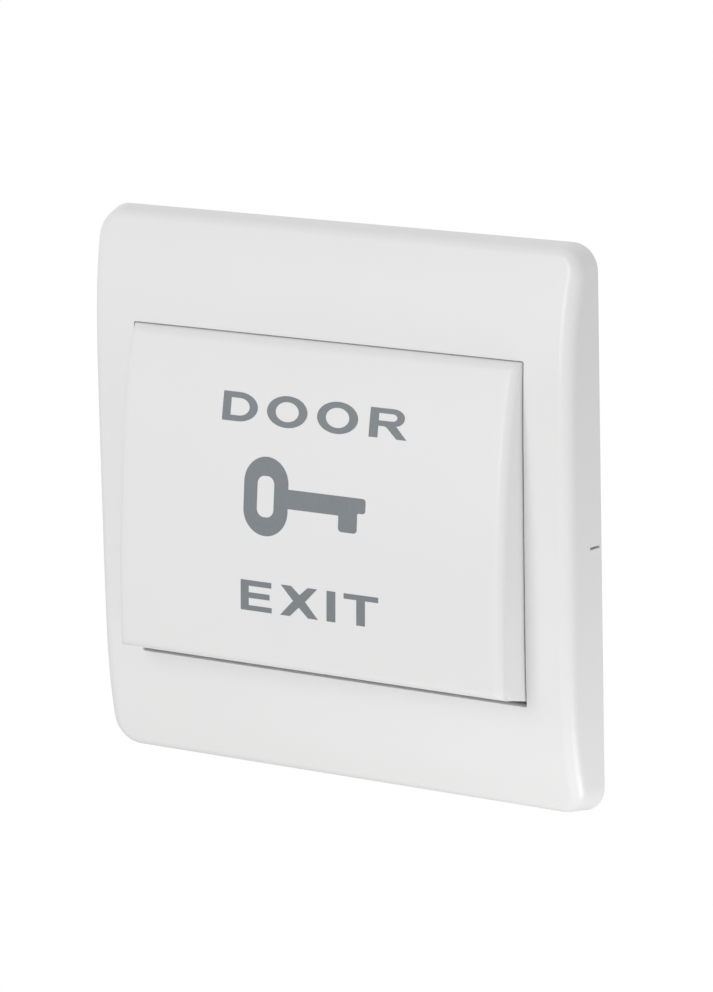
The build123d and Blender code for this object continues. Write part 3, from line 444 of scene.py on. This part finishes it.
spring_steel = worked_metal("drawn_spring_wire", SPRING_COLOUR, SPRING_STAIN, SPRING_ROUGHNESS, EVEN,
                            SPRING_LINE, SPRING_LINE_DEPTH)
for node, (wire, turns, closed, rear_body, front_body) in SPRINGS.items():
    low, high = (np.array(corner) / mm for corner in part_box(node))
    middle = (low + high) / 2
    length = high[1] - low[1]
    radius = (high[0] - low[0] - wire) / 2
    turn = np.linspace(0, turns, int(turns * COIL_ROWS_PER_TURN) + 1)
    closed_height = wire * (closed + 0.25)
    height = np.interp(turn, [0, closed, turns - closed, turns],
                       [wire / 4, closed_height, length - closed_height, length - wire / 4])
    round_wire = np.linspace(0, 2 * np.pi, WIRE_COLUMNS, endpoint=False)
    reach = radius + wire / 2 * np.cos(round_wire)
    angle = 2 * np.pi * turn[:, None]
    depth = np.clip(height[:, None] + wire / 2 * np.sin(round_wire), 0, length)
    points = np.stack([middle[0] + reach * np.cos(angle), high[1] - depth,
                       middle[2] + reach * np.sin(angle)], axis=-1)
    coil = skin(node + "_coil", points, spring_steel, sharp=35)
    if rear_body != front_body:
        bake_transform(coil)
    else:
        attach(coil, rear_body)
    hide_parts(node)
    if node == "plunger_spring":
        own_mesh(coil)


# Plunger: natural acetal, moulded in one piece, sliding through the plate and the lid. The resin is slightly
# cream and its skin has a soft waxy gloss.
PLUNGER_COLOUR = "#E2DFD4"
PLUNGER_ROUGHNESS = 0.34
PLUNGER_GRAIN = 0.5
PLUNGER_GRAIN_DEPTH = 0.003

plunger_plastic = moulded_plastic("natural_acetal", PLUNGER_COLOUR, PLUNGER_ROUGHNESS, PLUNGER_GRAIN,
                                  PLUNGER_GRAIN_DEPTH)
finish(plunger_plastic, "plunger")


# Face frame: white ABS, moulded in a polished tool, snapped over the plate. Its gloss is soft rather than a
# mirror's: it ripples very slightly every millimetre or so, which blurs the softbox's reflection.
FRAME_COLOUR = "#E9E9E9"
FRAME_ROUGHNESS = 0.31
POLISHED_RIPPLE = 1.2
POLISHED_RIPPLE_DEPTH = 0.0004
POLISHED_CLOUD = 0.003

frame_plastic = moulded_plastic("white_gloss_abs_frame", FRAME_COLOUR, FRAME_ROUGHNESS, POLISHED_RIPPLE,
                                POLISHED_RIPPLE_DEPTH, POLISHED_CLOUD)
finish(frame_plastic, "face_frame")


# Exit button: the same white ABS in one moulding, hinged near its top edge and, being rubbed by fingers, a
# touch duller than the frame. Its face is bowed out from top to bottom, rounding away fastest at its top
# edge. The solid has the face flat, so a copy of its skin is cut into bands and bent here.
BUTTON_COLOUR = "#E8E8E8"
BUTTON_ROUGHNESS = 0.34
BUTTON_SHARP = 32
FACE_PROBE = 18
FACE_BOW = 1.35
FACE_RISE = 1.15
FACE_RISE_POWER = 8
FOOT_LIFT = 0.25
FOOT_LIFT_START = -15.0
FACE_BOTTOM = -23.3
FACE_WALL = 1.72
FACE_BANDS = np.linspace(-21.7, 24.4, 38)
CORNER_BANDS = (-32.2, 32.2)
EDGE_BAND = 1.9
MERGE_DISTANCE = 0.0005
CUT_TOLERANCE = 0.0002

button = nodes["exit_button"]
face_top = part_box("exit_button")[1].z / mm
inwards = Vector((0, 1, 0))
seen_high, seen_low = (-button.ray_cast(Vector((0, -1, height * mm)), inwards)[1].y / mm
                       for height in (FACE_PROBE, -FACE_PROBE))
face_lean = (seen_low - seen_high) / (2 * FACE_PROBE)


def flat_face(height):
    """Depth in mm of the solid's flat face at a height, on the straight line through the two points that rays
    from in front meet."""
    return seen_high + face_lean * (FACE_PROBE - height)


def bowed_face(height):
    """Depth in mm of the bowed face at a height: the flat one, a parabola that is nothing at its two ends,
    and a rise that is nothing at the top edge and nearly all there a quarter of the way down."""
    fallen = np.clip((face_top - height) / (face_top - FACE_BOTTOM), 0, 1)
    parabola = 4 * FACE_BOW * fallen * (1 - fallen)
    rise = FACE_RISE * (1 - (1 - fallen) ** FACE_RISE_POWER)
    return flat_face(height) + parabola + rise


bent = bmesh.new()
bent.from_mesh(button.data)
bmesh.ops.remove_doubles(bent, verts=bent.verts, dist=MERGE_DISTANCE * mm)
facing = Vector((0, -1, face_lean)).normalized()
edge_place = Vector((0, -flat_face(0) * mm, 0)) - facing * EDGE_BAND * mm
cuts = [((0, 0, height * mm), (0, 0, 1)) for height in FACE_BANDS]
cuts += [((x * mm, 0, 0), (1, 0, 0)) for x in CORNER_BANDS]
cuts.append((edge_place, facing))
for place, direction in cuts:
    bmesh.ops.bisect_plane(bent, geom=bent.verts[:] + bent.edges[:] + bent.faces[:], dist=CUT_TOLERANCE * mm,
                           plane_co=place, plane_no=direction)
bent_mesh = bpy.data.meshes.new("exit_button_bowed")
bent.to_mesh(bent_mesh)
bent.free()
spots = np.empty(len(bent_mesh.vertices) * 3)
bent_mesh.vertices.foreach_get("co", spots)
across, depth, height = (spots.reshape(-1, 3) / mm * (1, -1, 1)).T
front_wall = depth > flat_face(height) - FACE_WALL
depth = depth + np.where(front_wall, bowed_face(height) - flat_face(height), 0)
near_foot = np.clip((height - FOOT_LIFT_START) / (FACE_BOTTOM - FOOT_LIFT_START), 0, 1)
height = height + np.where(front_wall, FOOT_LIFT * near_foot, 0)
bent_mesh.vertices.foreach_set("co", (np.c_[across, -depth, height] * mm).ravel())
bent_mesh.polygons.foreach_set("use_smooth", np.ones(len(bent_mesh.polygons), bool))
bent_mesh.set_sharp_from_angle(angle=math.radians(BUTTON_SHARP))
button_plastic = moulded_plastic("white_gloss_abs_button", BUTTON_COLOUR, BUTTON_ROUGHNESS, POLISHED_RIPPLE,
                                 POLISHED_RIPPLE_DEPTH, POLISHED_CLOUD)
bent_mesh.materials.clear()
bent_mesh.materials.append(button_plastic)
cap = bpy.data.objects.new("exit_button_bowed", bent_mesh)
bpy.context.scene.collection.objects.link(cap)
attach(cap, "button")
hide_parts("exit_button")


# Print on the button: a thin coat of grey pad-printing ink, a plain word above and below a key sign. The
# dried ink is satin, with a faint unevenness in its cover. Each shape is an outline of corners in mm, across
# from the middle and down from the button's top edge.
INK_COLOUR = "#797F84"
INK_ROUGHNESS = 0.42
INK_FILM_SIZE = 0.5
INK_FILM_DEPTH = 0.002
INK_COVER_DRIFT = 0.04
INK_THICKNESS = 0.03
INK_SUNK = 0.006
PRINT_TOP = 25.95
PRINT_BAND = 1.5
PRINT_CUT_TOLERANCE = 1e-5
PRINT_MOVES = {"print_door": (1.27, 0.60), "print_key": (1.60, 0.90), "print_exit": (1.35, 0.96)}
ARC_POINTS = 14
SAME_POINT = 1e-6
STEM = 1.45
ROUND_STEM = 1.53
BAR = 0.86
D_BOWL_REACH = 1.1
FLAT_INSET = 0.17
DOOR_TOP, DOOR_BOTTOM = 8.5, 13.15
D_SIDES = (-16.95, -10.7)
O_SIDES = ((-9.05, -1.90), (-0.19, 6.97))
R_SIDES = (8.98, 15.52)
EXIT_TOP, EXIT_BOTTOM = 36.97, 41.61
EXIT_SIDES = {"E": (-12.7, -7.2), "X": (-5.63, 1.06), "I": (2.6, 4.15), "T": (5.6, 11.63)}
STRAIGHT_LETTERS = {  # corners in parts of the letter's width and height, from its top left
    "E": ((0, 0), (1, 0), (1, 0.185), (0.26, 0.185), (0.26, 0.40), (0.94, 0.40), (0.94, 0.585), (0.26, 0.585),
          (0.26, 0.83), (1.01, 0.83), (1.01, 1), (0, 1)),
    "X": ((0.02, 0), (0.29, 0), (0.515, 0.27), (0.73, 0), (0.98, 0), (0.66, 0.47), (1, 1), (0.74, 1),
          (0.495, 0.68), (0.26, 1), (0, 1), (0.345, 0.485)),
    "I": ((0, 0), (1, 0), (1, 1), (0, 1)),
    "T": ((0, 0), (1, 0), (1, 0.175), (0.62, 0.175), (0.62, 1), (0.37, 1), (0.37, 0.175), (0, 0.175)),
}
BOW_LEFT, BOW_RIGHT, BOW_TOP, BOW_BOTTOM = -12.66, -4.80, 18.0, 29.9
HOLE_LEFT, HOLE_RIGHT, HOLE_TOP, HOLE_BOTTOM, HOLE_ROUND = -10.28, -7.30, 20.85, 27.06, 1.25
SHAFT_TOP, SHAFT_BOTTOM, SHAFT_END, TAIL_BOTTOM, TAIL_ROUND = 22.5, 25.4, 8.8, 24.75, 0.5
BIT_LEFT, BIT_RIGHT, BIT_BOTTOM, BIT_ROUND = 4.15, 7.42, 27.8, 0.6
BIT_ROOT_LEFT, BIT_ROOT_RIGHT = 0.15, 0.2


def outline(corners):
    """A closed loop through corners of (across, down, cut before, cut after). Each corner is cut back along
    both sides by those lengths and bridged by a conic arc, a quarter ellipse where the sides are square to
    each other: the two ends and the corner, weighted by (1 - t) squared, t squared and the square root of a
    half times 2t(1 - t)."""
    corners = np.array([corner if len(corner) == 4 else (*corner, 0, 0) for corner in corners], float)
    point = corners[:, :2]
    before = np.roll(point, 1, 0) - point
    after = np.roll(point, -1, 0) - point
    start = point + before / np.linalg.norm(before, axis=1)[:, None] * corners[:, 2:3]
    end = point + after / np.linalg.norm(after, axis=1)[:, None] * corners[:, 3:4]
    t = np.linspace(0, 1, ARC_POINTS)[None, :, None]
    pull = math.sqrt(0.5) * 2 * t * (1 - t)
    weighted = (1 - t) ** 2 * start[:, None] + pull * point[:, None] + t ** 2 * end[:, None]
    loop = (weighted / ((1 - t) ** 2 + pull + t ** 2)).reshape(-1, 2)
    return loop[np.linalg.norm(loop - np.roll(loop, 1, 0), axis=1) > SAME_POINT]


def round_letter(left, right, top, bottom, stem, straight_left):
    """The outer and inner loop of an O, or of a D whose left side is straight: two boxes with elliptical
    corners, the inner one smaller by a stem at each side and a bar at top and bottom."""
    loops = []
    for inset_x, inset_y in ((0, 0), (stem, BAR)):
        x0, x1, y0, y1 = left + inset_x, right - inset_x, top + inset_y, bottom - inset_y
        half_w, half_h = (x1 - x0) / 2, (y1 - y0) / 2
        if straight_left:
            reach = half_w * D_BOWL_REACH
            loops.append(outline([(x0, y0), (x1, y0, reach, half_h), (x1, y1, half_h, reach), (x0, y1)]))
        else:
            loops.append(outline([(x0, y0, half_h, half_w), (x1, y0, half_w, half_h),
                                  (x1, y1, half_h, half_w), (x0, y1, half_w, half_h)]))
    return loops


def letter_r(left, right, top, bottom):
    """The outer loop and the counter of an R: a stem, a bowl of two elliptical corners and a slanted leg."""
    width, height = right - left, bottom - top
    stem_right = left + 0.235 * width
    bowl, waist = right - 0.085 * width, top + 0.565 * height
    outer = outline([(left, top), (bowl, top, 0.30 * width, 0.28 * height),
                     (bowl, waist, 0.28 * height, 0.22 * width), (left + 0.70 * width, waist),
                     (right, bottom), (left + 0.735 * width, bottom),
                     (left + 0.46 * width, top + 0.635 * height), (left + 0.40 * width, top + 0.60 * height),
                     (stem_right, top + 0.60 * height), (stem_right, bottom), (left, bottom)])
    counter_right, counter_top, counter_low = left + 0.72 * width, top + 0.17 * height, top + 0.42 * height
    counter = outline([(stem_right, counter_top), (counter_right, counter_top, 0.13 * width, 0.125 * height),
                       (counter_right, counter_low, 0.125 * height, 0.13 * width), (stem_right, counter_low)])
    return [outer, counter]


def straight_letter(name, left, right, top, bottom):
    """A straight-sided letter, its corners spread over its box."""
    return outline([(left + (right - left) * x, top + (bottom - top) * y) for x, y in STRAIGHT_LETTERS[name]])


flat_top, flat_bottom = DOOR_TOP + FLAT_INSET, DOOR_BOTTOM - FLAT_INSET
door = round_letter(*D_SIDES, flat_top, flat_bottom, STEM, True)
for sides in O_SIDES:
    door += round_letter(*sides, DOOR_TOP, DOOR_BOTTOM, ROUND_STEM, False)
door += letter_r(*R_SIDES, flat_top, flat_bottom)
exit_word = [straight_letter(name, *sides, EXIT_TOP, EXIT_BOTTOM) for name, sides in EXIT_SIDES.items()]

bow_round = (BOW_RIGHT - BOW_LEFT) / 2
key = [
    outline([(BOW_LEFT, BOW_TOP, bow_round, bow_round), (BOW_RIGHT, BOW_TOP, bow_round, bow_round),
             (BOW_RIGHT, SHAFT_TOP), (SHAFT_END, SHAFT_TOP, TAIL_ROUND, TAIL_ROUND),
             (SHAFT_END, TAIL_BOTTOM, TAIL_ROUND, TAIL_ROUND),
             (BIT_RIGHT, TAIL_BOTTOM, BIT_ROOT_RIGHT, BIT_ROOT_RIGHT),
             (BIT_RIGHT, BIT_BOTTOM, BIT_ROUND, BIT_ROUND), (BIT_LEFT, BIT_BOTTOM, BIT_ROUND, BIT_ROUND),
             (BIT_LEFT, SHAFT_BOTTOM, BIT_ROOT_LEFT, BIT_ROOT_LEFT), (BOW_RIGHT, SHAFT_BOTTOM),
             (BOW_RIGHT, BOW_BOTTOM, bow_round, bow_round), (BOW_LEFT, BOW_BOTTOM, bow_round, bow_round)]),
    outline([(x, y, HOLE_ROUND, HOLE_ROUND)
             for x, y in ((HOLE_LEFT, HOLE_TOP), (HOLE_RIGHT, HOLE_TOP),
                          (HOLE_RIGHT, HOLE_BOTTOM), (HOLE_LEFT, HOLE_BOTTOM))]),
]

ink = bpy.data.materials.new("grey_print_ink")
ink.use_nodes = True
tree = ink.node_tree
tree.nodes.clear()
spot = add(tree, "TexCoord").outputs["Object"]
film = add(tree, "TexNoise", None,
           {"Vector": spot, "Scale": 1 / (INK_FILM_SIZE * mm), "Detail": 4.0, "Roughness": 0.6})
cover = add(tree, "MapRange", None, {"Value": film.outputs["Fac"], "From Min": 0.3, "From Max": 0.7,
                                     "To Min": 1 - INK_COVER_DRIFT, "To Max": 1 + INK_COVER_DRIFT})
shade = add(tree, "VectorMath", {"operation": "SCALE"},
            {0: linear(INK_COLOUR)[:3], "Scale": cover.outputs[0]})
relief = add(tree, "Bump", None,
             {"Height": film.outputs["Fac"], "Strength": 1.0, "Distance": INK_FILM_DEPTH * mm})
coat = add(tree, "BsdfPrincipled", None,
           {"Base Color": shade.outputs[0], "Roughness": INK_ROUGHNESS, "Normal": relief.outputs[0]})
add(tree, "OutputMaterial", None, {"Surface": coat.outputs[0]})

for name, loops in (("print_door", door), ("print_key", key), ("print_exit", exit_word)):
    curve = bpy.data.curves.new(name, "CURVE")
    curve.dimensions = "2D"
    curve.fill_mode = "BOTH"
    curve.extrude = INK_THICKNESS / 2
    for loop in loops:
        spline = curve.splines.new("POLY")
        spline.points.add(len(loop) - 1)
        spline.points.foreach_set("co", np.c_[loop, np.zeros(len(loop)), np.ones(len(loop))].ravel())
        spline.use_cyclic_u = True
    flat = bpy.data.objects.new(name, curve)
    bpy.context.scene.collection.objects.link(flat)
    bpy.context.view_layer.update()
    mesh = bpy.data.meshes.new_from_object(flat.evaluated_get(bpy.context.evaluated_depsgraph_get()))
    bpy.data.objects.remove(flat)

    # The flat shape is cut into bands, so that it can follow the bowed face
    banded = bmesh.new()
    banded.from_mesh(mesh)
    first = min(loop[:, 1].min() for loop in loops) + PRINT_BAND
    last = max(loop[:, 1].max() for loop in loops)
    for level in np.arange(first, last, PRINT_BAND):
        bmesh.ops.bisect_plane(banded, geom=banded.verts[:] + banded.edges[:] + banded.faces[:],
                               dist=PRINT_CUT_TOLERANCE, plane_co=(0, level, 0), plane_no=(0, 1, 0))
    banded.to_mesh(mesh)
    banded.free()
    local = np.empty(len(mesh.vertices) * 3)
    mesh.vertices.foreach_get("co", local)
    across, down, thick = local.reshape(-1, 3).T
    move_right, move_up = PRINT_MOVES[name]
    height = PRINT_TOP + move_up - down
    lift = thick + INK_THICKNESS / 2 - INK_SUNK
    points = np.c_[across + move_right, -bowed_face(height) - lift, height] * mm
    mesh.vertices.foreach_set("co", points.ravel())
    mesh.flip_normals()
    mesh.materials.clear()
    mesh.materials.append(ink)
    word = bpy.data.objects.new(name, mesh)
    bpy.context.scene.collection.objects.link(word)
    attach(word, "button")
